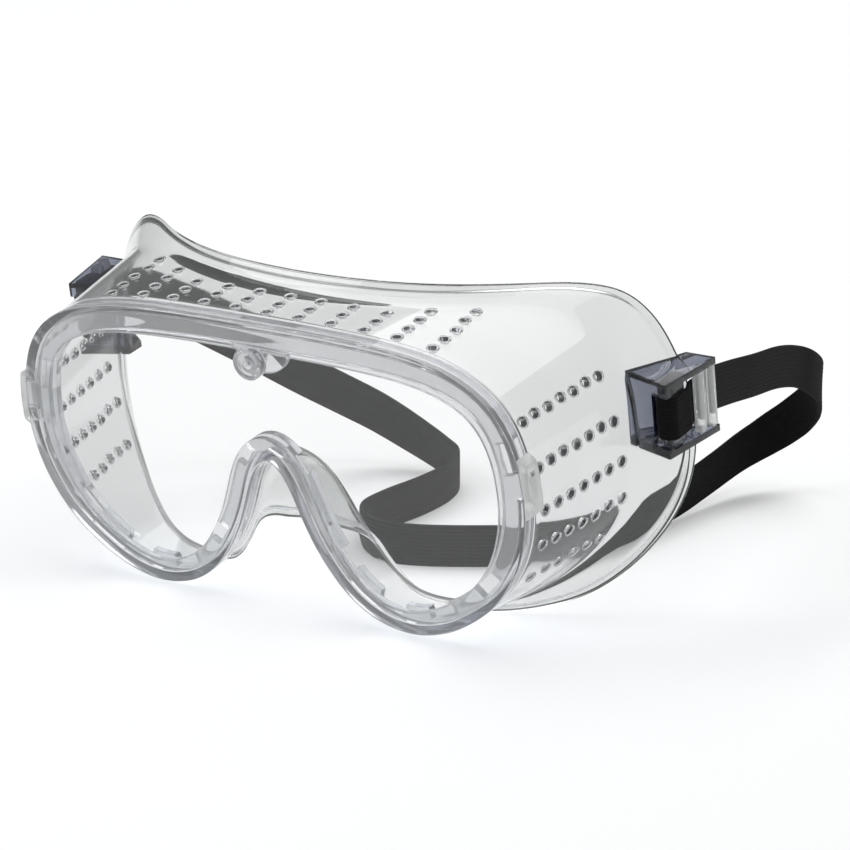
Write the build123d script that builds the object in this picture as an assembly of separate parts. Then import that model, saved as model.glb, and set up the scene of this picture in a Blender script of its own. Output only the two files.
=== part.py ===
"""Perforated safety goggles: soft clear moulding, clear lens and black elastic strap, in millimetres.

The goggles are laid out in their own frame (X to the wearer's left, Y rearwards from the rim's front face,
Z up the face), pitched forward onto the floor, and the strap is laid out on that floor.
"""

import os
from math import cos, radians, sin

from build123d import *

PITCH = 10.0  # forward lean at rest, degrees
LIP_W, LIP_T = 8.5, 2.0  # front lip that covers the lens edge
LIP_NARROW = 6.9  # its width round the cheeks and nose
WEB_T = 2.5  # outer skin of the rim
LENS_T = 1.5
LENS_GAP = 0.3  # clearance all round the lens
LENS_INSET = 2.9  # lens edge behind the rim's outline
RIM_D = 6.5  # rim depth from front to back
WALL_T = 1.8
WALL_INSET = 0.2
FLANGE_T = 1.2
HOLE_R = 1.15  # vent holes
HOLE_PITCH = 5.6
TOP_ROW_PITCH = 10.6
TOP_ROWS = (5, 4, 3, 3, 3, 3, 3, 3, 3, 4, 5)
TOP_FIRST_Y = 8.6
SIDE_ROWS = ((1.4, 7, 8.6), (-11.4, 7, 8.9), (-24.1, 7, 9.9), (-35.7, 7, 10.5), (-46.4, 6, 11.5))  # height, holes, first y
SIDE_PITCH = 5.4
BUTTON_Z, BUTTON_R, BUTTON_T, STEM_R = 10.0, 4.65, 3.2, 1.8
EAR_R, EAR_Z = 9.6, 14.0
SLOT_Z0, SLOT_Z1 = -18.6, -9.6  # rim slot for the lens's side tab
LUG_Y0, LUG_Y1 = 46.2, 67.5
LUG_Z0, LUG_Z1 = -23.0, -1.0
LUG_T = 2.0
LUG_X0, LUG_X1 = 100.4, 104.0  # outer face at the front and at the rear
LUG_BACK = (84.5, 50.9)  # where the slanted front wall meets the side wall
WINDOW_X, WINDOW_Z0, WINDOW_Z1 = 95.0, -20.4, -5.2  # opening round the front corner that shows the strap
POST_X0, POST_X1, POST_Y0, POST_Y1, POST_R = 96.5, 100.4, 48.8, 57.0, 1.4  # corner bar that the strap turns round
STRAP_W, STRAP_T = 12.4, 1.3
POST_PLAY = 0.03

# Half outline from the top centre round to the nose: rim outline (x, z), wall rear edge, flange edge (x, y, z).
STATIONS = (
    ((0.0, 20.8), (0.0, 23.0, 20.6), (0.0, 28.0, 25.0)),
    ((14.0, 20.8), (13.5, 23.8, 20.6), (13.5, 28.6, 25.0)),
    ((28.0, 20.5), (28.0, 26.5, 20.6), (28.0, 30.8, 24.8)),
    ((42.0, 19.8), (42.0, 31.0, 20.4), (43.0, 36.0, 24.2)),
    ((54.0, 18.2), (55.0, 37.0, 19.6), (58.0, 44.5, 23.2)),
    ((64.0, 15.2), (65.5, 42.5, 17.6), (70.0, 54.5, 21.4)),
    ((72.5, 10.0), (75.0, 47.5, 13.0), (80.5, 61.0, 18.0)),
    ((78.0, 3.2), (81.8, 50.0, 6.0), (88.0, 63.6, 11.0)),
    ((81.2, -5.0), (86.0, 51.0, -2.5), (93.0, 64.5, 2.0)),
    ((82.6, -14.0), (88.2, 51.3, -12.0), (96.8, 65.0, -9.5)),
    ((82.6, -23.5), (88.8, 50.8, -23.0), (98.6, 64.4, -23.0)),
    ((80.8, -33.0), (87.8, 49.2, -34.0), (97.8, 61.5, -36.0)),
    ((77.0, -42.0), (84.0, 46.4, -44.0), (93.6, 56.6, -47.5)),
    ((71.3, -50.2), (77.5, 41.5, -53.0), (86.0, 49.8, -58.0)),
    ((63.6, -57.0), (69.0, 35.0, -60.0), (76.0, 41.4, -65.6)),
    ((54.2, -62.6), (58.5, 28.0, -64.4), (64.5, 33.4, -69.0)),
    ((43.0, -65.4), (46.5, 22.6, -65.6), (51.0, 27.0, -70.2)),
    ((32.0, -63.6), (34.0, 20.0, -64.0), (36.4, 23.0, -68.8)),
    ((23.6, -58.5), (25.8, 18.6, -58.4), (29.0, 21.0, -64.4)),
    ((17.8, -52.0), (20.8, 17.7, -51.2), (23.6, 19.8, -57.6)),
    ((13.2, -44.6), (17.0, 17.2, -43.6), (19.4, 19.4, -51.0)),
    ((9.8, -37.0), (13.6, 17.0, -35.8), (14.6, 19.3, -48.6)),
    ((7.2, -29.8), (9.8, 17.0, -29.4), (9.6, 19.2, -48.2)),
    ((4.4, -23.8), (5.4, 17.0, -25.6), (4.8, 19.1, -47.4)),
    ((0.0, -20.0), (0.0, 17.0, -24.4), (0.0, 19.0, -47.0)),
)
# Strap's floor route: x, y of its middle and height of its lower edge, from the right lug to the left one.
ROUTE = (
    (98.5, 78.0, 57.2), (96.0, 92.0, 55.0), (93.0, 110.0, 52.0), (89.0, 132.0, 48.5),
    (86.0, 150.0, 44.0), (85.0, 162.0, 39.0), (82.5, 172.0, 33.0), (77.0, 179.5, 26.0),
    (69.0, 183.0, 18.0), (61.0, 181.0, 11.5), (55.5, 173.0, 7.0), (53.0, 159.0, 3.2),
    (52.5, 140.0, 1.0), (51.5, 118.0, 0.1), (49.0, 99.0, 0.0), (42.0, 84.0, 0.0),
    (28.0, 73.5, 0.0), (13.0, 64.5, 0.0), (2.0, 61.5, 0.0), (-8.0, 64.5, 0.0),
    (-14.5, 73.0, 0.0), (-15.5, 86.0, 0.0), (-14.0, 104.0, 0.0), (-15.0, 120.0, 0.0),
    (-20.0, 133.0, 0.0), (-29.5, 140.0, 0.8), (-41.0, 142.0, 4.5), (-52.5, 138.5, 11.0),
    (-61.0, 131.0, 17.5), (-69.0, 121.0, 25.0), (-79.0, 110.0, 34.0), (-90.0, 98.0, 43.5),
    (-96.5, 86.0, 51.5), (-98.8, 76.0, 57.0),
)
RIGHT_RUN, FLOOR_RUN = 13, 24  # ROUTE points that end the right-hand run and the run on the floor

TILT = (cos(radians(PITCH)), sin(radians(PITCH)))


def vec(*p):
    return Vector(*p)


def catmull(a, b, c, d, t):
    """Smooth curve between b and c."""
    return ((b * 2) + (c - a) * t + (a * 2 - b * 5 + c * 4 - d) * t**2 + (b * 3 - a - c * 3 + d) * t**3) * 0.5


def station(u):
    """Rim outline, wall rear edge and flange edge at a whole station of the full loop of 48."""
    u = (u + 24) % 48 - 24
    rim, wall, flange = STATIONS[abs(u)]
    side = -1 if u < 0 else 1
    return (
        vec(side * rim[0], 0, rim[1]),
        vec(side * wall[0], wall[1], wall[2]),
        vec(side * flange[0], flange[1], flange[2]),
    )


def along(u):
    """The same three points anywhere between the stations."""
    k = int(u // 1)
    near = [station(k + i) for i in (-1, 0, 1, 2)]
    return [catmull(*[n[j] for n in near], u - k) for j in range(3)]


def outward(u):
    """Unit normal of the rim's outline, pointing away from the lens."""
    t = along(u + 0.05)[0] - along(u - 0.05)[0]
    return vec(-t.Z, 0, t.X).normalized()


def tilted(p):
    """A point of the goggles' own frame, leaned forward."""
    return vec(p.X, p.Y * TILT[0] - p.Z * TILT[1], p.Y * TILT[1] + p.Z * TILT[0])


def patch(a, b, c, d):
    return Face.make_surface_from_curves(Edge.make_line(a, b), Edge.make_line(d, c))


def skin(rows):
    """Closed solid through a row of four-cornered sections."""
    faces = [patch(*rows[0]), patch(*rows[-1])]
    for near, far in zip(rows, rows[1:]):
        for i in range(4):
            j = (i + 1) % 4
            faces.append(patch(near[i], near[j], far[j], far[i]))
    solid = Solid(Shell(faces))
    if solid.volume < 0:
        solid = Solid(solid.wrapped.Reversed())
    return solid


def band(section, u0, u1, step=0.5):
    count = round((u1 - u0) / step)
    return skin([section(u0 + (u1 - u0) * i / count) for i in range(count + 1)])


def lip_width(u):
    down = abs((u + 24) % 48 - 24) - 11
    return LIP_W - (LIP_W - LIP_NARROW) * min(max(down / 5, 0), 1)


def lifted(p, y):
    return vec(p.X, y, p.Z)


def lip_section(u):
    p, n = along(u)[0], outward(u)
    q = p - n * lip_width(u)
    return p, q, lifted(q, LIP_T), lifted(p, LIP_T)


def web_section(u):
    p, n = along(u)[0], outward(u)
    q = p - n * WEB_T
    return lifted(p, LIP_T), lifted(q, LIP_T), lifted(q, RIM_D), lifted(p, RIM_D)


def ledge_section(u):
    p, n = along(u)[0], outward(u)
    front = LIP_T + LENS_T + 2 * LENS_GAP
    a, b = p - n * WEB_T, p - n * lip_width(u)
    return lifted(a, front), lifted(b, front), lifted(b, RIM_D), lifted(a, RIM_D)


def wall_section(u):
    p, n = along(u)[0], outward(u)
    rear = along(u)[1]
    a = lifted(p - n * WALL_INSET, RIM_D)
    return a, a - n * WALL_T, rear - n * WALL_T, rear


def flange_section(u):
    _, crease, edge = along(u)
    n = outward(u)
    run = along(u + 0.05)[2] - along(u - 0.05)[2]
    face_side = run.cross(edge - crease).normalized()
    if face_side.Y < 0:
        face_side = face_side * -1
    return crease, crease - n * WALL_T, edge + face_side * FLANGE_T, edge


def largest(shape):
    return max(shape.solids(), key=lambda s: s.volume)


def mirrored(shape):
    return mirror(shape, about=Plane.YZ)


nodes = {}
SPANS = {"top": (-5, 5), "side_left": (5, 12), "cheek_left": (12, 20), "nose": (20, 28)}
for name, (u0, u1) in SPANS.items():
    nodes[f"lip_{name}"] = band(lip_section, u0, u1)
    nodes[f"ledge_{name}"] = band(ledge_section, u0, u1)
    nodes[f"wall_{name}"] = band(wall_section, u0, u1)
    nodes[f"flange_{name}"] = band(flange_section, u0, u1)
    if name != "side_left":
        nodes[f"web_{name}"] = band(web_section, u0, u1)

# The side web is open at the slot that the lens's tab comes through.
SLOT_U = (8.5, 9.5)
BOSS_Z, BOSS_H = -14.6, 17.4
nodes["web_side_upper_left"] = band(web_section, 5, SLOT_U[0])
nodes["web_side_lower_left"] = band(web_section, SLOT_U[1], 12)

# Vent holes.
drills = []
for row, count in enumerate(TOP_ROWS):
    x = (row - len(TOP_ROWS) // 2) * TOP_ROW_PITCH
    for i in range(count):
        drills.append(Pos(x, TOP_FIRST_Y + i * HOLE_PITCH, 18) * Cylinder(HOLE_R, 24))
nodes["wall_top"] = nodes["wall_top"].cut(*drills)
for name in ("wall_side_left", "wall_cheek_left"):
    drills = [
        Pos(82, first_y + i * SIDE_PITCH, z) * Rot(0, 90, 0) * Cylinder(HOLE_R, 40)
        for z, count, first_y in SIDE_ROWS
        for i in range(count)
    ]
    nodes[name] = nodes[name].cut(*drills)

# Ear and button that hold the lens at the top.
ledge_front = LIP_T + LENS_T + 2 * LENS_GAP
ear = Pos(0, (ledge_front + RIM_D) / 2, EAR_Z) * Rot(90, 0, 0) * Cylinder(EAR_R, RIM_D - ledge_front)
nodes["ear"] = largest(ear.cut(nodes["ledge_top"], nodes["web_top"]).intersect(Pos(0, 5, 3.2) * Box(30, 20, 18)))
stem = Pos(0, ledge_front / 2, BUTTON_Z) * Rot(90, 0, 0) * Cylinder(STEM_R, ledge_front)
head = Pos(0, -BUTTON_T / 2, BUTTON_Z) * Rot(90, 0, 0) * Cylinder(BUTTON_R, BUTTON_T)
nodes["button"] = stem.fuse(head)

# Lens: outline inset from the rim, side tabs and the hole for the button's stem.
outline = []
for i in range(96):
    u = i / 2
    outline.append(along(u)[0] - outward(u) * LENS_INSET)
lens_y = LIP_T + LENS_GAP
sheet = Face(Wire.make_polygon([lifted(p, lens_y) for p in outline], close=True))
lens = extrude(sheet, amount=LENS_T, dir=(0, 1, 0))
tab = Box(8.0, LENS_T, SLOT_Z1 - SLOT_Z0 - 1.6)
for side in (-1, 1):
    lens = lens.fuse(Pos(side * 80.4, lens_y + LENS_T / 2, (SLOT_Z0 + SLOT_Z1) / 2) * tab)
lens = lens.cut(Pos(0, lens_y, BUTTON_Z) * Rot(90, 0, 0) * Cylinder(STEM_R + 0.7, 8))
nodes["lens"] = largest(lens)

# Boss round the tab's slot on each side of the rim.
boss = Pos(82.6, 4.0, BOSS_Z) * Box(4.0, 7.0, BOSS_H)
boss = boss.cut(Pos(82.6, 3.05, (SLOT_Z0 + SLOT_Z1) / 2) * Box(6, 2.1, SLOT_Z1 - SLOT_Z0 - 0.2))
rim_parts = [nodes[n] for n in ("lip_side_left", "web_side_upper_left", "web_side_lower_left", "ledge_side_left")]
boss = boss.cut(*rim_parts, nodes["wall_side_left"])
nodes["tab_boss_left"] = largest(boss)

# Strap lug: front, top and bottom walls in one piece, and three upright bars.
def prism(points, z0, z1):
    return extrude(Pos(0, 0, z0) * Face(Wire.make_polygon(points, close=True)), amount=z1 - z0, dir=(0, 0, 1))


front = [LUG_BACK, (LUG_X0, LUG_Y0), (LUG_X1, LUG_Y1)]
block = prism(front + [(99.2, LUG_Y1), (84.5, 57.0)], LUG_Z0, LUG_Z1 - LUG_T)
roof = prism(front + [(95.0, LUG_Y1), (90.6, 60.0), (84.5, 52.0)], LUG_Z1 - LUG_T, LUG_Z1)
slope = (LUG_Y0 - LUG_BACK[1]) / (LUG_X0 - LUG_BACK[0])
inner = [(x, LUG_BACK[1] + slope * (x - LUG_BACK[0]) + LUG_T * (1 + slope**2) ** 0.5) for x in (80, 110)]
hollow = prism(inner + [(110, 80), (80, 80)], LUG_Z0 + LUG_T, LUG_Z1 - LUG_T)
window = prism([(WINDOW_X, 40), (110, 40), (110, 50), (WINDOW_X, 50)], WINDOW_Z0, WINDOW_Z1)
lug = block.fuse(roof).cut(hollow, window).cut(nodes["wall_side_left"], nodes["flange_side_left"])
nodes["lug_left"] = largest(lug)
bar_h = LUG_Z1 - LUG_Z0 - 2 * LUG_T
mid_z = (LUG_Z0 + LUG_Z1) / 2
post = RectangleRounded(POST_X1 - POST_X0, POST_Y1 - POST_Y0, POST_R)
post_at = Pos((POST_X0 + POST_X1) / 2, (POST_Y0 + POST_Y1) / 2, mid_z - bar_h / 2)
nodes["strap_post_left"] = largest(extrude(post_at * post, amount=bar_h, dir=(0, 0, 1)).cut(nodes["lug_left"]))
nodes["lug_bar_inner_left"] = Pos(101.6, 61.7, mid_z) * Box(2.4, 3.2, bar_h)
nodes["lug_bar_outer_left"] = Pos(102.6, 66.2, mid_z) * Box(2.4, 2.6, bar_h)

for name in [n for n in nodes if "left" in n]:
    nodes[name.replace("left", "right")] = mirrored(nodes[name])

for name in list(nodes):
    nodes[name] = Rot(PITCH, 0, 0) * nodes[name]
floor = min(s.bounding_box().min.Z for s in nodes.values())


def strap_rows(points, rulings):
    """Sections of flat webbing: each stands across the run, its width along the ruling."""
    rows = []
    for i, (p, w) in enumerate(zip(points, rulings)):
        t = (points[min(i + 1, len(points) - 1)] - points[max(i - 1, 0)]).normalized()
        w = (w - t * w.dot(t)).normalized()
        n = t.cross(w).normalized() * (STRAP_T / 2)
        h = w * (STRAP_W / 2)
        rows.append((p - n - h, p + n - h, p + n + h, p - n + h))
    return rows


def loop_plan():
    """Plan of the strap inside the lug: in from the rear, round the corner bar and back to its loose end."""
    r = POST_R + POST_PLAY + STRAP_T / 2
    pts = [(99.9, LUG_Y1 + 1.0), (99.75, 65.0), (99.7, 62.4), (99.72, 60.1), (99.95, 59.2), (100.5, 57.9), (101.02, 56.7)]
    corners = ((POST_X1 - POST_R, POST_Y0 + POST_R, 0), (POST_X0 + POST_R, POST_Y0 + POST_R, -90))
    for x, y, first in corners:
        for k in range(7):
            a = radians(first - k * 15)
            pts.append((x + r * cos(a), y + r * sin(a)))
        if first == 0:
            pts[-7:-7] = [(x + r, 55.6), (x + r, 53.0)]
    end = POST_X0 + POST_R - r
    return pts + [(end, 52.6), (end, 55.6), (end, 58.6)]


def matched(row, corners):
    """The corners in the order of the row's own nearest ones."""
    return tuple(min(corners, key=lambda c: (c - p).length) for p in row)


up = tilted(vec(0, 0, 1))
loop = [tilted(vec(x, y, mid_z)) for x, y in loop_plan()]
nodes["strap_loop_left"] = skin(strap_rows(loop, [up] * len(loop)))
nodes["strap_loop_right"] = mirrored(nodes["strap_loop_left"])

start = loop[0]
path = [start] + [vec(x, y, floor + h + STRAP_W / 2) for x, y, h in ROUTE] + [vec(-start.X, start.Y, start.Z)]
fine, index = [], []
for k in range(len(path) - 1):
    near = [path[max(k - 1, 0)], path[k], path[k + 1], path[min(k + 2, len(path) - 1)]]
    index.append(len(fine))
    fine += [catmull(*near, i / 4) for i in range(4)]
index.append(len(fine))
fine.append(path[-1])
rulings = []
for i in range(len(fine)):
    end = min(i, len(fine) - 1 - i)
    blend = min(end / 8, 1.0)
    rulings.append(up * (1 - blend) + vec(0, 0, 1) * blend)
rows = strap_rows(fine, rulings)
loop_end = strap_rows(loop, [up] * len(loop))[0]
rows[0] = matched(rows[0], loop_end)
rows[-1] = matched(rows[-1], [vec(-p.X, p.Y, p.Z) for p in loop_end])
cuts = (0, 6, RIGHT_RUN, 19, FLOOR_RUN, 29, len(path) - 1)
names = ("strap_lug_run_left", "strap_fold", "strap_floor_left", "strap_floor_mid", "strap_rise", "strap_lug_run_right")
for name, a, b in zip(names, cuts, cuts[1:]):
    nodes[name] = skin(rows[index[a] : index[b] + 1])

box = Compound(children=[Compound(s.solids()) for s in nodes.values()]).bounding_box()
shift = Pos(-(box.min.X + box.max.X) / 2, -(box.min.Y + box.max.Y) / 2, -box.min.Z)
os.makedirs("parts", exist_ok=True)
for name, shape in nodes.items():
    export_step(shift * shape, f"parts/{name}.step")
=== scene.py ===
"""Clear direct-vent safety goggles: one soft clear moulding, a clear snap-in lens and a ribbed elastic headband.

The goggles are worked out in millimetres in their own upright frame (X to the wearer's left, Y rearwards from the
rim's front face, Z up the face) and leaned forward onto the floor by `lean`. Every surface is a grid of points.
"""
import math

import bmesh
import bpy
import numpy as np
from mathutils import Matrix, Vector


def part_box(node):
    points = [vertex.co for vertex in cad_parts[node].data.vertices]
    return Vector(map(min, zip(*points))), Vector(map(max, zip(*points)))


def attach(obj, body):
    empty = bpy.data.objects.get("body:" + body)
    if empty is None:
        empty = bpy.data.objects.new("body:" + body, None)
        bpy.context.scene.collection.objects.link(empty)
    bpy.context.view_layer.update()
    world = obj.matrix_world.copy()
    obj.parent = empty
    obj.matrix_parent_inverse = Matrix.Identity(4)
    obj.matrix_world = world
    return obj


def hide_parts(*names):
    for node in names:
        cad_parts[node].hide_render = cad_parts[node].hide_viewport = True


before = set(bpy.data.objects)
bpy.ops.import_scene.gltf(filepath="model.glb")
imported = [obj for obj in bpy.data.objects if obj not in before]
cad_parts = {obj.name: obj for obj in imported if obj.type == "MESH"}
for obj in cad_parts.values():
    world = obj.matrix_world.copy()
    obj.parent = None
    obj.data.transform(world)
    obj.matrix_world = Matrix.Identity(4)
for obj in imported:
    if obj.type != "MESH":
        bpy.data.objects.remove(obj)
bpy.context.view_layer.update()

# ---------------------------------------------------------------- place in the frame
PITCH = math.radians(10.0)
COS, SIN = math.cos(PITCH), math.sin(PITCH)
BUTTON_Z, BUTTON_R, BUTTON_T = 10.0, 4.65, 3.2
low = np.array(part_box("button")[0]) * 1000
SHIFT_Y = low[1] + BUTTON_T * COS + (BUTTON_Z + BUTTON_R) * SIN
SHIFT_Z = low[2] + BUTTON_T * SIN - (BUTTON_Z - BUTTON_R) * COS


def lean(p):
    """Upright millimetres to the frame's metres: turn about X by the pitch, then shift."""
    x, y, z = p[..., 0], p[..., 1], p[..., 2]
    return np.stack([x, y * COS - z * SIN + SHIFT_Y, y * SIN + z * COS + SHIFT_Z], -1) / 1000


def unit(v):
    return v / np.maximum(np.linalg.norm(v, axis=-1, keepdims=True), 1e-9)


# ---------------------------------------------------------------- camera
IMAGE_WIDTH, SENSOR = 850, 36.0
AZIMUTH, ELEVATION, DISTANCE, FOCAL_PX = math.radians(33.0), math.radians(16.5), 1.0, 3800.0
level = math.cos(ELEVATION)
back = Vector((math.sin(AZIMUTH) * level, -math.cos(AZIMUTH) * level, math.sin(ELEVATION)))
side = Vector((math.cos(AZIMUTH), math.sin(AZIMUTH), 0))
target = Vector((0.054, SHIFT_Y / 1000, SHIFT_Z / 1000))
camera = bpy.data.objects.new("camera", bpy.data.cameras.new("camera"))
bpy.context.collection.objects.link(camera)
camera.data.sensor_width = SENSOR
camera.data.lens = FOCAL_PX / IMAGE_WIDTH * SENSOR
camera.data.clip_start, camera.data.clip_end = 0.05, 20.0
turn = Matrix((side, back.cross(side), back)).transposed().to_4x4()
camera.matrix_world = Matrix.Translation(target + back * DISTANCE) @ turn
bpy.context.scene.camera = camera


# ---------------------------------------------------------------- shader helper
class Sock:
    """A shader socket with arithmetic on plain values."""

    def __init__(self, net, socket):
        self.net, self.socket = net, socket

    def _math(self, operation, *values):
        return self.net.node("ShaderNodeMath", dict(operation=operation), *values)

    def __add__(self, other):
        return self._math("ADD", self, other)

    def __sub__(self, other):
        return self._math("SUBTRACT", self, other)

    def __rsub__(self, other):
        return self._math("SUBTRACT", other, self)

    def __mul__(self, other):
        return self._math("MULTIPLY", self, other)

    def sin(self):
        return self._math("SINE", self)

    def clamp(self):
        return self.net.node("ShaderNodeClamp", {}, self)

    __radd__, __rmul__ = __add__, __mul__


class Net:
    """One material's nodes."""

    def __init__(self, name):
        self.mat = bpy.data.materials.new(name)
        self.mat.use_nodes = True
        self.tree = self.mat.node_tree
        self.tree.nodes.clear()
        self.out = self.tree.nodes.new("ShaderNodeOutputMaterial")

    def node(self, kind, settings=None, *values, out=0, **named):
        """A node of this kind: its settings first, then its sockets by place or by name."""
        made = self.tree.nodes.new(kind)
        for key, value in (settings or {}).items():
            setattr(made, key, value)
        for key, value in [*enumerate(values), *((k.replace("_", " "), v) for k, v in named.items())]:
            if value is None:
                continue
            if isinstance(value, Sock):
                self.tree.links.new(value.socket, made.inputs[key])
            else:
                made.inputs[key].default_value = value
        return Sock(self, made.outputs[out])

    def finish(self, surface, volume=None):
        self.tree.links.new(surface.socket, self.out.inputs["Surface"])
        if volume is not None:
            self.tree.links.new(volume.socket, self.out.inputs["Volume"])
        return self.mat


def mix_colour(net, share, first, second):
    """Between two colours by the share of the second."""
    return net.node("ShaderNodeMix", dict(data_type="RGBA"), share, *[None] * 5, first, second, out=2)


def clear_plastic(
    name, tint, density, rough, ior, ripple_mm, scale, haze=(0.0, 0.0), haze_colour=(0.5, 0.5, 0.5, 1),
    rim_colour=None, face_tint=(1, 1, 1, 1)
):
    """Clear plastic with a slight moulding ripple and cloud; lamps shine through it, and thick parts take the tint.

    The cloud is the first haze number on the rim and the second on the walls behind it, where each face
    also takes the face tint.
    """
    net = Net(name)
    place = net.node("ShaderNodeTexCoord", {}, out=3)
    ripple = net.node("ShaderNodeTexNoise", {}, Vector=place, Scale=scale, Detail=2.0, Roughness=0.4)
    fine = net.node("ShaderNodeTexNoise", {}, Vector=place, Scale=scale * 12, Detail=2.0)
    bump = net.node(
        "ShaderNodeBump", {}, Strength=1.0, Distance=ripple_mm / 1000, Height=ripple * 0.85 + fine * 0.15
    )
    roughness = net.node("ShaderNodeMapRange", {}, fine, 0.3, 0.7, rough * 0.6, rough * 1.4)
    place_y, place_z = (net.node("ShaderNodeSeparateXYZ", {}, place, out=i) for i in (1, 2))
    front = (SHIFT_Y * COS + SHIFT_Z * SIN) / 1000
    at_wall = net.node(
        "ShaderNodeMapRange", {}, place_y * COS + place_z * SIN, front + 0.0062, front + 0.0085, 0.0, 1.0
    )
    surface = net.node(
        "ShaderNodeBsdfPrincipled", {}, Base_Color=mix_colour(net, at_wall, (1, 1, 1, 1), face_tint),
        Roughness=roughness, IOR=ior, Transmission_Weight=1.0, Normal=bump,
    )
    if haze[1]:
        tone = mix_colour(net, at_wall, rim_colour or haze_colour, haze_colour)
        cloud = net.node("ShaderNodeBsdfPrincipled", {}, Base_Color=tone, Roughness=0.3, IOR=ior, Normal=bump)
        share = (at_wall * (haze[1] - haze[0]) + haze[0]) * (ripple * 0.5 + 0.75)
        surface = net.node("ShaderNodeMixShader", {}, share, surface, cloud)
    see = net.node("ShaderNodeBsdfTransparent", {}, (0.93, 0.935, 0.94, 1))
    shadow_ray = net.node("ShaderNodeLightPath", {}, out=1)
    volume = net.node("ShaderNodeVolumeAbsorption", {}, tint, density)
    return net.finish(net.node("ShaderNodeMixShader", {}, shadow_ray, surface, see), volume)


def webbing(name):
    """Black elastic: ribs along the band from its shape, fine picks across it, and slightly paler worn ribs."""
    net = Net(name)
    uv = net.node("ShaderNodeUVMap", dict(uv_map="band"))
    length, width = (net.node("ShaderNodeSeparateXYZ", {}, uv, out=i) for i in (0, 1))
    picks = (length * (math.tau / 0.55)).sin() * 0.5 + 0.5
    knit = (width * (math.tau / 0.565) + (length * (math.tau / 1.1)).sin()).sin() * 0.5 + 0.5
    fuzz = net.node("ShaderNodeTexNoise", {}, Vector=uv, Scale=3.2, Detail=4.0, Roughness=0.7)
    streak_at = net.node("ShaderNodeMapping", {}, uv, Scale=(0.06, 2.2, 1.0))
    streak = net.node("ShaderNodeTexNoise", {}, Vector=streak_at, Scale=1.6, Detail=3.0)
    height = picks * 0.35 + knit * 0.35 + fuzz * 0.5
    bump = net.node("ShaderNodeBump", {}, Strength=0.8, Distance=0.00012, Height=height)
    shade = (streak * 0.55 + fuzz * 0.3 + picks * knit * 0.35 - 0.1).clamp()
    colour = mix_colour(net, shade, (0.0012, 0.0012, 0.0014, 1), (0.010, 0.010, 0.011, 1))
    cloth = net.node(
        "ShaderNodeBsdfPrincipled", {}, Base_Color=colour, Roughness=0.86, Normal=bump, Sheen_Weight=0.02,
        Sheen_Roughness=0.5, Specular_IOR_Level=0.12,
    )
    return net.finish(cloth)


MOULDED = clear_plastic(
    "soft_clear_vinyl", (0.64, 0.65, 0.70, 1), 110.0, 0.03, 1.42, 0.010, 45.0, (0.17, 0.11), (0.30, 0.32, 0.30, 1),
    (0.74, 0.76, 0.75, 1), (0.955, 0.96, 0.95, 1)
)
THICK = clear_plastic(
    "soft_clear_vinyl_thick", (0.40, 0.43, 0.53, 1), 1000.0, 0.03, 1.46, 0.006, 45.0, (0.02, 0.05),
    (0.3, 0.31, 0.33, 1)
)
RING = clear_plastic(
    "soft_clear_vinyl_ring", (0.5, 0.5, 0.58, 1), 90.0, 0.02, 1.52, 0.002, 45.0, (0.01, 0.01), (0.5, 0.5, 0.5, 1)
)
FROSTED = clear_plastic(
    "soft_clear_vinyl_frosted", (0.7, 0.71, 0.75, 1), 60.0, 0.05, 1.44, 0.004, 45.0, (0.38, 0.4),
    (0.82, 0.84, 0.81, 1)
)
BUTTON = clear_plastic(
    "soft_clear_vinyl_button", (0.62, 0.63, 0.68, 1), 140.0, 0.03, 1.48, 0.003, 45.0, (0.16, 0.16),
    (0.78, 0.8, 0.77, 1)
)
LENS_CLEAR = clear_plastic(
    "clear_lens_sheet", (0.80, 0.84, 0.86, 1), 30.0, 0.01, 1.40, 0.003, 14.0, (0.03, 0.03), (0.4, 0.4, 0.39, 1)
)
BAND = webbing("black_elastic")


# ---------------------------------------------------------------- mesh helper
def make(name, points, faces, material, body="moulding", smooth_deg=40.0, uv=None):
    """A piece from points in the frame's metres and faces; edges sharper than smooth_deg stay sharp."""
    mesh = bpy.data.meshes.new(name)
    mesh.from_pydata(points.reshape(-1, 3).tolist(), [], faces)
    if uv is not None:
        layer = mesh.uv_layers.new(name="band")
        loops = np.empty(len(mesh.loops), int)
        mesh.loops.foreach_get("vertex_index", loops)
        layer.data.foreach_set("uv", uv[loops].ravel())
    mesh.update()
    mesh.shade_smooth()
    mesh.set_sharp_from_angle(angle=math.radians(smooth_deg))
    mesh.materials.append(material)
    piece = bpy.data.objects.new(name, mesh)
    bpy.context.collection.objects.link(piece)
    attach(piece, body)
    return piece


def grid_faces(rows, cols, wrap_rows, wrap_cols, start=0):
    """Quads of a rows by cols grid, joined round where it wraps."""
    i = np.arange(rows if wrap_rows else rows - 1)[:, None]
    j = np.arange(cols if wrap_cols else cols - 1)[None, :]
    i2, j2 = (i + 1) % rows, (j + 1) % cols
    quads = np.stack([i * cols + j, i2 * cols + j, i2 * cols + j2, i * cols + j2], -1)
    return (quads.reshape(-1, 4) + start).tolist()


def lathe(profile, centre, around=48):
    """Profile of (radius, y) turned about an axis along Y through the centre (x, z), in upright millimetres."""
    profile = np.array(profile, float)
    angle = np.linspace(0, math.tau, around, endpoint=False)
    x = centre[0] + profile[:, None, 0] * np.cos(angle)
    z = centre[1] + profile[:, None, 0] * np.sin(angle)
    y = np.broadcast_to(profile[:, None, 1], x.shape)
    return np.stack([x, y, z], -1)


def capped(grid):
    """Points and faces of a grid that wraps in its columns and is closed by a fan at both ends."""
    rows, cols = grid.shape[:2]
    faces = grid_faces(rows, cols, False, True)
    faces.append(list(range(cols)))
    faces.append([(rows - 1) * cols + k for k in reversed(range(cols))])
    return grid.reshape(-1, 3), faces


def leaned(solid):
    """Points and faces with the points leaned into the frame."""
    points, faces = solid
    return lean(points), faces


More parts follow.
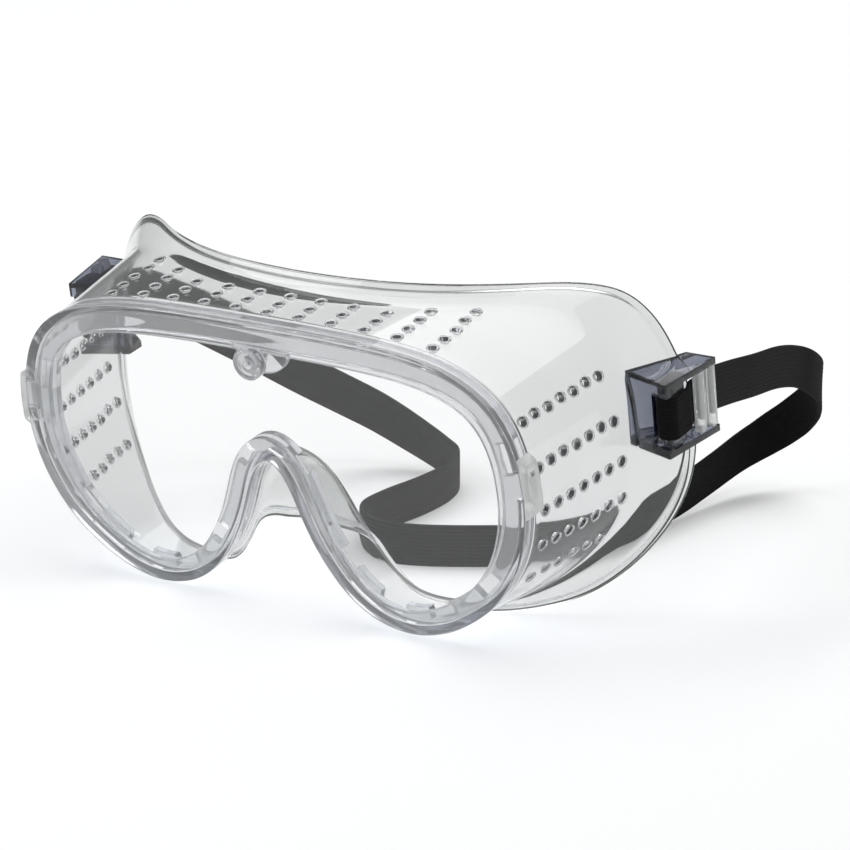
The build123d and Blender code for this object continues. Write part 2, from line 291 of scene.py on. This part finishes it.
def outwards(piece):
    """Turn the piece's faces outward and weld doubles."""
    work = bmesh.new()
    work.from_mesh(piece.data)
    bmesh.ops.remove_doubles(work, verts=work.verts, dist=1e-7)
    bmesh.ops.recalc_face_normals(work, faces=work.faces)
    work.to_mesh(piece.data)
    work.free()
    return piece


def apply_modifiers(piece):
    """Keep what the modifiers make as the piece's own mesh."""
    graph = bpy.context.evaluated_depsgraph_get()
    new = bpy.data.meshes.new_from_object(piece.evaluated_get(graph))
    piece.modifiers.clear()
    old, piece.data = piece.data, new
    bpy.data.meshes.remove(old)
    return piece


# ---------------------------------------------------------------- contour of the moulding
STATIONS = np.array((
    ((0.0, 0, 20.8), (0.0, 23.0, 20.6), (0.0, 28.0, 25.0)),
    ((14.0, 0, 20.8), (13.5, 23.8, 20.6), (13.5, 28.6, 25.0)),
    ((28.0, 0, 20.5), (28.0, 26.5, 20.6), (28.0, 30.8, 24.8)),
    ((42.0, 0, 19.8), (42.0, 31.0, 20.4), (43.0, 36.0, 24.2)),
    ((54.0, 0, 18.2), (55.0, 37.0, 19.6), (58.0, 44.5, 23.2)),
    ((64.0, 0, 15.2), (65.5, 42.5, 17.6), (70.0, 54.5, 21.4)),
    ((72.5, 0, 10.0), (75.0, 47.5, 13.0), (80.5, 61.0, 18.0)),
    ((78.0, 0, 3.2), (81.8, 50.0, 6.0), (88.0, 63.6, 11.0)),
    ((81.2, 0, -5.0), (86.0, 51.0, -2.5), (93.0, 64.5, 2.0)),
    ((82.6, 0, -14.0), (88.2, 51.3, -12.0), (96.8, 65.0, -9.5)),
    ((82.6, 0, -23.5), (88.8, 50.8, -23.0), (98.6, 64.4, -23.0)),
    ((80.8, 0, -33.0), (87.8, 49.2, -34.0), (97.8, 61.5, -36.0)),
    ((77.0, 0, -42.0), (84.0, 46.4, -44.0), (93.6, 56.6, -47.5)),
    ((71.3, 0, -50.2), (77.5, 41.5, -53.0), (86.0, 49.8, -58.0)),
    ((63.6, 0, -57.0), (69.0, 35.0, -60.0), (76.0, 41.4, -65.6)),
    ((54.2, 0, -62.6), (58.5, 28.0, -64.4), (64.5, 33.4, -69.0)),
    ((43.0, 0, -65.4), (46.5, 22.6, -65.6), (51.0, 27.0, -70.2)),
    ((32.0, 0, -63.6), (34.0, 20.0, -64.0), (36.4, 23.0, -68.8)),
    ((23.6, 0, -58.5), (25.8, 18.6, -58.4), (29.0, 21.0, -64.4)),
    ((17.8, 0, -52.0), (20.8, 17.7, -51.2), (23.6, 19.8, -57.6)),
    ((13.2, 0, -44.6), (17.0, 17.2, -43.6), (19.4, 19.4, -51.0)),
    ((9.8, 0, -37.0), (13.6, 17.0, -35.8), (14.6, 19.3, -48.6)),
    ((7.2, 0, -29.8), (9.8, 17.0, -29.4), (9.6, 19.2, -48.2)),
    ((4.4, 0, -23.8), (5.4, 17.0, -25.6), (4.8, 19.1, -47.4)),
    ((0.0, 0, -20.0), (0.0, 17.0, -24.4), (0.0, 19.0, -47.0)),
))
LOOP = np.concatenate([STATIONS, STATIONS[-2:0:-1] * (-1, 1, 1)])  # 48 stations round the whole face
RIM_D, LIP_W, LIP_T, WEB_T, WALL_T, FLANGE_T = 6.5, 8.5, 2.0, 2.5, 1.8, 1.2
LEDGE_Y = 4.1
LIP_NARROW = 6.9


def catmull(keys, at, closed):
    """Catmull-Rom curve through the keys at fractional places."""
    n = len(keys)
    k = np.floor(at).astype(int)
    t = (at - k).reshape(-1, *([1] * (keys.ndim - 1)))
    pick = (lambda i: keys[i % n]) if closed else (lambda i: keys[np.clip(i, 0, n - 1)])
    a, b, c, d = (pick(k + s) for s in (-1, 0, 1, 2))
    return 0.5 * (2 * b + (c - a) * t + (2 * a - 5 * b + 4 * c - d) * t**2 + (3 * b - a - 3 * c + d) * t**3)


def softened(values, sigma):
    """Circular Gaussian blur of rows, by multiplying their spectrum."""
    f = np.fft.rfftfreq(len(values))
    gain = np.exp(-2 * (math.pi * f * sigma) ** 2).reshape(-1, *([1] * (values.ndim - 1)))
    return np.fft.irfft(np.fft.rfft(values, axis=0) * gain, len(values), axis=0)


AROUND = 576
PER = AROUND / 48
ring = softened(catmull(LOOP, np.arange(AROUND) / PER, True), 0.28 * PER)
rim_line, crease_line, edge_line = ring[:, 0], ring[:, 1], ring[:, 2]
run = unit(np.roll(rim_line, -1, 0) - np.roll(rim_line, 1, 0))
normal = np.stack([-run[:, 2], np.zeros(AROUND), run[:, 0]], -1)
edge_run = unit(np.roll(edge_line, -1, 0) - np.roll(edge_line, 1, 0))
face_side = unit(np.cross(edge_run, edge_line - crease_line))
face_side *= np.sign(face_side[:, 1:2])
inward = unit(crease_line - edge_line)
down = np.abs((np.arange(AROUND) / PER + 24) % 48 - 24) - 11
lip_w = LIP_W - (LIP_W - LIP_NARROW) * np.clip(down / 5, 0, 1)


def at_rim(offset, y):
    """Points beside the rim's outline: outline plus offset along its outward normal, at depth y."""
    p = rim_line + normal * np.reshape(offset, (-1, 1))
    p[:, 1] = y
    return p


def rounded_loop(keys, steps):
    """Closed profile through key lines, each corner turned by a quadratic Bezier of its radius."""
    out = []
    for i, ((key, radius), count) in enumerate(zip(keys, steps)):
        before = keys[i - 1][0]
        after, after_radius = keys[(i + 1) % len(keys)]
        a = key + unit(before - key) * radius
        b = key + unit(after - key) * radius
        for t in np.linspace(0, 1, 6):
            out.append(a * (1 - t) ** 2 + key * 2 * t * (1 - t) + b * t**2)
        c = after + unit(key - after) * after_radius
        for t in np.linspace(0, 1, count + 1)[1:-1]:
            out.append(b * (1 - t) + c * t)
    return np.stack(out, 1)


profile_keys = [
    (at_rim(0.0, 0.0), 0.7),
    (at_rim(-lip_w, 0.0), 0.7),
    (at_rim(-lip_w, LIP_T), 0.4),
    (at_rim(-WEB_T, LIP_T), 0.2),
    (at_rim(-WEB_T, LEDGE_Y), 0.2),
    (at_rim(-lip_w, LEDGE_Y), 0.3),
    (at_rim(-lip_w, RIM_D), 0.5),
    (at_rim(-2.1, RIM_D), 0.9),
    (crease_line - normal * WALL_T, 3.0),
    (edge_line + face_side * FLANGE_T + inward * 3.2, 1.2),
    (edge_line + face_side * 2.0 + inward * 1.6, 0.6),
    (edge_line + face_side * 2.0, 0.8),
    (edge_line, 0.5),
    (crease_line, 3.0),
    (at_rim(-0.1, RIM_D), 0.6),
]
shell_grid = rounded_loop(profile_keys, (5, 2, 4, 2, 4, 2, 3, 16, 6, 1, 1, 1, 7, 16, 4))
SHELL_COLS = shell_grid.shape[1]
shell = make(
    "moulding_shell", lean(shell_grid), grid_faces(AROUND, SHELL_COLS, True, True), MOULDED, smooth_deg=50
)
outwards(shell)

# ---------------------------------------------------------------- vents
TOP_ROWS = (5, 4, 3, 3, 3, 3, 3, 3, 3, 4, 5)
# Side rows: height, number of vents, depth of the first.
SIDE_ROWS = ((1.4, 7, 8.6), (-11.4, 7, 8.9), (-24.1, 7, 9.9), (-35.7, 7, 10.5), (-46.4, 6, 11.5))
VENT_PITCH, SIDE_PITCH, TOP_ROW_PITCH, TOP_FIRST_Y, VENT_R = 5.6, 5.4, 10.6, 8.6, 1.15
outer_wall = at_rim(-0.1, RIM_D)[:, None] * (1 - np.linspace(0, 1, 161)[None, :, None])
outer_wall = outer_wall + crease_line[:, None] * np.linspace(0, 1, 161)[None, :, None]
wall_du = np.roll(outer_wall, -1, 0) - np.roll(outer_wall, 1, 0)
wall_dv = np.gradient(outer_wall, axis=1)
wall_normal = unit(np.cross(wall_du, wall_dv))
wall_normal *= np.sign((wall_normal * normal[:, None]).sum(-1, keepdims=True))


def vent_places():
    """Centre and outward normal of every vent on the walls' outer skin."""
    flat, flat_n = outer_wall.reshape(-1, 3), wall_normal.reshape(-1, 3)
    found = []
    upper = flat[:, 2] > 12
    for row, count in enumerate(TOP_ROWS):
        for i in range(count):
            want = ((row - 5) * TOP_ROW_PITCH, TOP_FIRST_Y + i * VENT_PITCH)
            far = np.hypot(flat[:, 0] - want[0], flat[:, 1] - want[1]) + ~upper * 999
            found.append(int(far.argmin()))
    for sign in (1, -1):
        sided = flat[:, 0] * sign > 60
        for z, count, first_y in SIDE_ROWS:
            for i in range(count):
                far = np.hypot(flat[:, 2] - z, flat[:, 1] - first_y - i * SIDE_PITCH) + ~sided * 999
                found.append(int(far.argmin()))
    return flat[found], flat_n[found]


vent_at, vent_n = vent_places()
vent_a = unit(np.cross(vent_n, (0.0, 1.0, 0.0)))
vent_b = np.cross(vent_n, vent_a)


def vent_grid(profile, around):
    """Each vent's profile of (radius, height) turned about the wall's normal there."""
    profile = np.array(profile, float)
    angle = np.linspace(0, math.tau, around, endpoint=False)
    spoke = vent_a[:, None] * np.cos(angle)[:, None] + vent_b[:, None] * np.sin(angle)[:, None]
    return (
        vent_at[:, None, None]
        + spoke[:, None] * profile[None, :, None, :1]
        + vent_n[:, None, None] * profile[None, :, None, 1:]
    )


def many(grids, wrap_rows, caps):
    """Faces for a stack of equal grids that wrap round in their columns."""
    count, rows, cols = grids.shape[:3]
    faces = []
    for k in range(count):
        start = k * rows * cols
        faces += grid_faces(rows, cols, wrap_rows, True, start)
        if caps:
            faces.append([start + c for c in range(cols)])
            faces.append([start + (rows - 1) * cols + c for c in reversed(range(cols))])
    return faces


drill_grid = vent_grid([(VENT_R, -4.0), (VENT_R, -1.0), (1.5, 0.15), (1.5, 2.5)], 24)
drills = make("drills", lean(drill_grid), many(drill_grid, False, True), MOULDED)
outwards(drills)


# Blind pockets moulded into the back of the rim, seen through its front.
def pocket_boxes():
    """Boxes set along the rim's outline: half length along it, inset and depth."""
    corners = []
    for u, half in ((8.2, 4.6), (13.0, 4.2), (15.1, 4.4), (16.9, 4.2), (19.2, 3.2), (22.9, 3.0)):
        for sign in (1, -1):
            i = int(round(u * PER)) % AROUND if sign > 0 else int(round(-u * PER)) % AROUND
            centre, t, n = rim_line[i], run[i], normal[i]
            block = []
            for dy in (LEDGE_Y - 0.3, RIM_D + 0.5):
                for a, b in ((-1, -1), (1, -1), (1, 1), (-1, 1)):
                    p = centre + t * half * a + n * (-5.6 + 1.7 * b)
                    block.append((p[0], dy, p[2]))
            corners.append(block)
    return np.array(corners).reshape(len(corners), 2, 4, 3)


pockets_grid = pocket_boxes()
pockets = make("pockets", lean(pockets_grid), many(pockets_grid, False, True), MOULDED)
outwards(pockets)

# Pad with sloping ends on each side of the rim, hollowed for the lens's tab.
PAD_Z = (-23.3, -23.1, -22.1, -21.6, -20.9, -18.0, -14.6, -11.0, -8.3, -7.6, -7.1, -6.1, -5.9)
PAD_OUT = (0.02, 0.1, 1.75, 2.15, 2.25, 2.25, 2.25, 2.25, 2.25, 2.15, 1.75, 0.1, 0.02)


def pad_grid():
    """Rounded oblong sections stacked up the rim's side, standing out from it by PAD_OUT."""
    z, out = np.array(PAD_Z), np.array(PAD_OUT)
    flank = rim_line[: AROUND // 3][::-1]
    skin = np.interp(z, flank[:, 2], flank[:, 0])
    shape = ((0, 0.35), (0.8, 0.4), (1, 0.75), (1, 3.2), (1, 6.0), (0.8, 6.35), (0, 6.4), (0, 4.4), (0, 2.4))
    across = np.array([a for a, _ in shape])
    depth = np.array([b for _, b in shape])
    x = skin[:, None] + 0.03 + np.maximum(across, 0) * out[:, None]
    y, z = np.broadcast_to(depth, x.shape), np.broadcast_to(z[:, None], x.shape)
    left = np.stack([x, y, z], -1)
    return np.stack([left, left * (-1, 1, 1)])


pads_grid = pad_grid()
pads = make("tab_pads", lean(pads_grid), many(pads_grid, False, True), FROSTED, smooth_deg=35)
outwards(pads)
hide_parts("tab_boss_left", "tab_boss_right")
SLOT_Z0, SLOT_Z1 = -18.6, -9.6
slots_grid = np.array([[
    [(x * sign, y, z) for y, z in ((2.02, SLOT_Z0), (4.08, SLOT_Z0), (4.08, SLOT_Z1), (2.02, SLOT_Z1))]
    for x in (79.4, 84.5)
] for sign in (1, -1)])
slots = make("slots", lean(slots_grid), many(slots_grid, False, True), MOULDED)
outwards(slots)


# D-shaped ear behind the lens, under the top lip: radius, centre height, and chord below the centre.
EAR_R, EAR_Z, EAR_CHORD = 9.5, 14.0, 1.2


def ear_grid():
    """Arc of a circle closed by a level chord, carried back through the thickness and drawn in at both faces."""
    inset = np.array((0.6, 0.15, 0.0, 0.0, 0.15, 0.6))[:, None]
    y = np.array((4.12, 4.3, 4.7, 5.9, 6.3, 6.48))[:, None]
    r, chord = EAR_R - inset, EAR_CHORD + inset
    end = np.arcsin(chord / r)
    angle = math.pi + end + (math.pi - 2 * end) * np.linspace(0, 1, 72)
    x, z = r * np.cos(angle), EAR_Z + r * np.sin(angle)
    return np.stack([x, np.broadcast_to(y, x.shape), z], -1)


ear = make("ear", *leaned(capped(ear_grid())), MOULDED)
outwards(ear)

grow = shell.modifiers.new("join", "BOOLEAN")
grow.operation, grow.solver, grow.object = "UNION", "MANIFOLD", ear
for cutter in (drills, pockets, slots):
    cut = shell.modifiers.new("cut", "BOOLEAN")
    cut.operation, cut.solver, cut.object = "DIFFERENCE", "MANIFOLD", cutter
apply_modifiers(shell)
hollow = pads.modifiers.new("hollow", "BOOLEAN")
hollow.operation, hollow.solver, hollow.object = "DIFFERENCE", "MANIFOLD", slots
apply_modifiers(pads)
pads.data.shade_smooth()
pads.data.set_sharp_from_angle(angle=math.radians(35))
for used in (drills, pockets, slots, ear):
    bpy.data.objects.remove(used)
shell.data.shade_smooth()
shell.data.set_sharp_from_angle(angle=math.radians(42))

# Raised ring round every vent: a band with rounded edges.
ring_profile = [
    (1.46, 0.1), (1.5, 0.34), (1.62, 0.42), (1.78, 0.36), (1.86, 0.16), (1.84, -0.12), (1.62, -0.2), (1.47, -0.12)
]
rings_grid = vent_grid(ring_profile, 24)
rings = make("vent_rings", lean(rings_grid), many(rings_grid, True, False), RING, smooth_deg=180)
outwards(rings)

ARCS = ("top", "side_left", "side_right", "cheek_left", "cheek_right", "nose")
shell_nodes = [f"{part}_{arc}" for part in ("lip", "ledge", "wall", "flange") for arc in ARCS]
shell_nodes += ["ear"]
shell_nodes += [f"web_{arc}" for arc in ("top", "cheek_left", "cheek_right", "nose")]
shell_nodes += [f"web_side_{where}_{hand}" for where in ("upper", "lower") for hand in ("left", "right")]
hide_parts(*shell_nodes)

# ---------------------------------------------------------------- button
R, T = BUTTON_R, BUTTON_T
button_profile = [
    (0.001, -T + 1.3), (0.75, -T + 1.3), (0.9, -T + 1.1), (1.0, -T + 0.62), (1.2, -T + 0.45), (1.9, -T + 0.38),
    (2.1, -T + 0.5), (2.25, -T + 0.62), (3.1, -T + 0.66), (3.35, -T + 0.55), (3.5, -T + 0.15), (3.65, -T + 0.02),
    (4.35, -T), (4.56, -T + 0.09), (R, -T + 0.35), (R, -0.75), (R - 0.2, -0.35), (R - 0.6, -0.15), (2.2, -0.1),
    (1.9, 0.05), (1.8, 0.4), (1.8, 4.05), (0.001, 4.05),
]
button = make("lens_button", *leaned(capped(lathe(button_profile, (0, BUTTON_Z)))), BUTTON)
outwards(button)
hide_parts("button")


# ---------------------------------------------------------------- lens
lens = bpy.data.objects["lens"]
lens.data.materials.clear()
lens.data.materials.append(LENS_CLEAR)


# ---------------------------------------------------------------- lugs, bars and posts: soft-edged copies
def softened_copy(node, name, width_mm, material, segments=3):
    """A welded copy of a CAD solid with rounded edges."""
    work = bmesh.new()
    work.from_mesh(bpy.data.objects[node].data)
    bmesh.ops.remove_doubles(work, verts=work.verts, dist=1e-6)
    bmesh.ops.dissolve_limit(work, angle_limit=math.radians(1.0), verts=work.verts, edges=work.edges)
    mesh = bpy.data.meshes.new(name)
    work.to_mesh(mesh)
    work.free()
    mesh.materials.append(material)
    piece = bpy.data.objects.new(name, mesh)
    bpy.context.collection.objects.link(piece)
    soft = piece.modifiers.new("round", "BEVEL")
    soft.width, soft.segments = width_mm / 1000, segments
    soft.limit_method, soft.angle_limit = "ANGLE", math.radians(35)
    apply_modifiers(piece)
    piece.data.shade_smooth()
    piece.data.set_sharp_from_angle(angle=math.radians(50))
    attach(piece, "moulding")
    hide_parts(node)
    return piece


for hand in ("left", "right"):
    softened_copy(f"lug_{hand}", f"strap_lug_{hand}", 0.6, THICK)
    softened_copy(f"lug_bar_inner_{hand}", f"lug_inner_bar_{hand}", 0.5, FROSTED)
    softened_copy(f"lug_bar_outer_{hand}", f"lug_outer_bar_{hand}", 0.6, FROSTED)
    softened_copy(f"strap_post_{hand}", f"lug_post_{hand}", 0.2, MOULDED)

# ---------------------------------------------------------------- headband
STRAP_W, STRAP_T = 12.4, 1.3
MID_Z, POST_X0, POST_X1, POST_Y0, POST_R, POST_PLAY = -12.0, 96.5, 100.4, 48.8, 1.4, 0.03
ROUTE = np.array((
    (98.5, 78.0, 57.2), (96.0, 92.0, 55.0), (93.0, 110.0, 52.0), (89.0, 132.0, 48.5),
    (86.0, 150.0, 44.0), (85.0, 162.0, 39.0), (82.5, 172.0, 33.0), (77.0, 179.5, 26.0),
    (69.0, 183.0, 18.0), (61.0, 181.0, 11.5), (55.5, 173.0, 7.0), (53.0, 159.0, 3.2),
    (52.5, 140.0, 1.0), (51.5, 118.0, 0.1), (49.0, 99.0, 0.0), (42.0, 84.0, 0.0),
    (28.0, 73.5, 0.0), (13.0, 64.5, 0.0), (2.0, 61.5, 0.0), (-8.0, 64.5, 0.0),
    (-14.5, 73.0, 0.0), (-15.5, 86.0, 0.0), (-14.0, 104.0, 0.0), (-15.0, 120.0, 0.0),
    (-20.0, 133.0, 0.0), (-29.5, 140.0, 0.8), (-41.0, 142.0, 4.5), (-52.5, 138.5, 11.0),
    (-61.0, 131.0, 17.5), (-69.0, 121.0, 25.0), (-79.0, 110.0, 34.0), (-90.0, 98.0, 43.5),
    (-96.5, 86.0, 51.5), (-98.8, 76.0, 57.0),
))


def band_line():
    """Middle line of the whole band in metres and the upright direction of its width."""
    r = POST_R + POST_PLAY + STRAP_T / 2
    turn = np.radians(-15.0 * np.arange(7))
    outer_x, inner_x, front_y = POST_X1 - POST_R, POST_X0 + POST_R, POST_Y0 + POST_R
    xs = np.concatenate([
        [99.9, 99.75, 99.7, 99.72, 99.95, 100.5, 101.02, outer_x + r, outer_x + r], outer_x + r * np.cos(turn),
        inner_x + r * np.cos(turn - math.pi / 2), np.full(3, inner_x - r),
    ])
    ys = np.concatenate([
        [68.5, 65.0, 62.4, 60.1, 59.2, 57.9, 56.7, 55.6, 53.0], front_y + r * np.sin(turn),
        front_y + r * np.sin(turn - math.pi / 2), [52.6, 55.6, 58.6],
    ])
    loop = lean(np.stack([xs, ys, np.full_like(xs, MID_Z)], -1))
    lay = np.stack([ROUTE[:, 0], ROUTE[:, 1] + SHIFT_Y, ROUTE[:, 2] + STRAP_W / 2], -1) / 1000
    keys = np.concatenate([loop[::-1], lay, loop * (-1, 1, 1)])
    line = catmull(keys, np.linspace(0, len(keys) - 1, (len(keys) - 1) * 8 + 1), False)
    lug_up = np.array((0.0, -SIN, COS))
    place = np.arange(len(line)) / 8
    inside = len(loop)
    share = np.clip(np.minimum(place - inside, len(keys) - 1 - inside - place) / 2, 0, 1)[:, None]
    return line, lug_up * (1 - share) + np.array((0, 0, 1.0)) * share


def band_grid(line, width_way):
    """Ribbed flat section carried along the line: its faces ripple across the width, its edges are round."""
    tangent = unit(np.gradient(line, axis=0))
    width_way = unit(width_way - tangent * (width_way * tangent).sum(-1, keepdims=True))
    thick_way = unit(np.cross(tangent, width_way))
    ribs, half_w, half_t = 11, STRAP_W / 2 - 0.05, STRAP_T / 2
    v = np.linspace(-1, 1, 79)
    crown = half_t - 0.13 - 0.10 * np.abs(v) ** 8
    ripple = 0.13 * np.abs(np.cos(v * ribs * math.pi / 2))
    across = np.concatenate([v, v[::-1]]) * half_w
    through = np.concatenate([crown + ripple, -(crown + ripple)[::-1]])
    section = width_way[:, None] * across[:, None] + thick_way[:, None] * through[:, None]
    return line[:, None] + section / 1000, across


line, width_way = band_line()
grid, across = band_grid(line, width_way)
distance = np.concatenate([[0], np.cumsum(np.linalg.norm(np.diff(line, axis=0), axis=1))]) * 1000
rows, cols = grid.shape[:2]
points, faces = capped(grid)
uv = np.stack([np.repeat(distance, cols), np.tile(across, rows)], -1)
band = make("headband", points, faces, BAND, smooth_deg=80, uv=uv)
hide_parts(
    "strap_loop_left", "strap_loop_right", "strap_lug_run_left", "strap_lug_run_right", "strap_fold",
    "strap_floor_left", "strap_floor_mid", "strap_rise",
)

# ---------------------------------------------------------------- floor and light
floor_mesh = bpy.data.meshes.new("floor")
floor_mesh.from_pydata([(-6, -6, 0), (6, -6, 0), (6, 9, 0), (-6, 9, 0)], [], [(0, 1, 2, 3)])
floor = bpy.data.objects.new("floor", floor_mesh)
bpy.context.collection.objects.link(floor)
floor_net = Net("floor_white")
floor_mesh.materials.append(floor_net.finish(floor_net.node(
    "ShaderNodeBsdfPrincipled", {}, Base_Color=(0.92, 0.925, 0.93, 1), Roughness=0.9, Specular_IOR_Level=0.1
)))


def area(name, place, at, size, watts, colour=(1, 1, 1)):
    data = bpy.data.lights.new(name, "AREA")
    data.shape, data.size, data.size_y, data.energy, data.color = "RECTANGLE", size[0], size[1], watts, colour
    lamp = bpy.data.objects.new(name, data)
    bpy.context.collection.objects.link(lamp)
    lamp.location = place
    lamp.rotation_euler = (Vector(at) - Vector(place)).to_track_quat("-Z", "Y").to_euler()


area("ceiling", (0.0, 1.2, 3.2), (0, 0.6, 0), (4.6, 4.6), 133)
area("key", (-0.9, -0.7, 1.0), (0, 0, 0.03), (0.7, 0.7), 5)

world = bpy.data.worlds.new("studio")
bpy.context.scene.world = world
world.use_nodes = True
sky = world.node_tree
sky.nodes.clear()
out = sky.nodes.new("ShaderNodeOutputWorld")
glow = sky.nodes.new("ShaderNodeBackground")
glow.inputs[0].default_value = (1, 1, 1, 1)
glow.inputs[1].default_value = 0.27
sky.links.new(glow.outputs[0], out.inputs[0])

scene = bpy.context.scene
scene.cycles.max_bounces = 24
scene.cycles.transmission_bounces = 20
scene.cycles.transparent_max_bounces = 24
scene.view_settings.view_transform = "Standard"
scene.view_settings.look = "None"
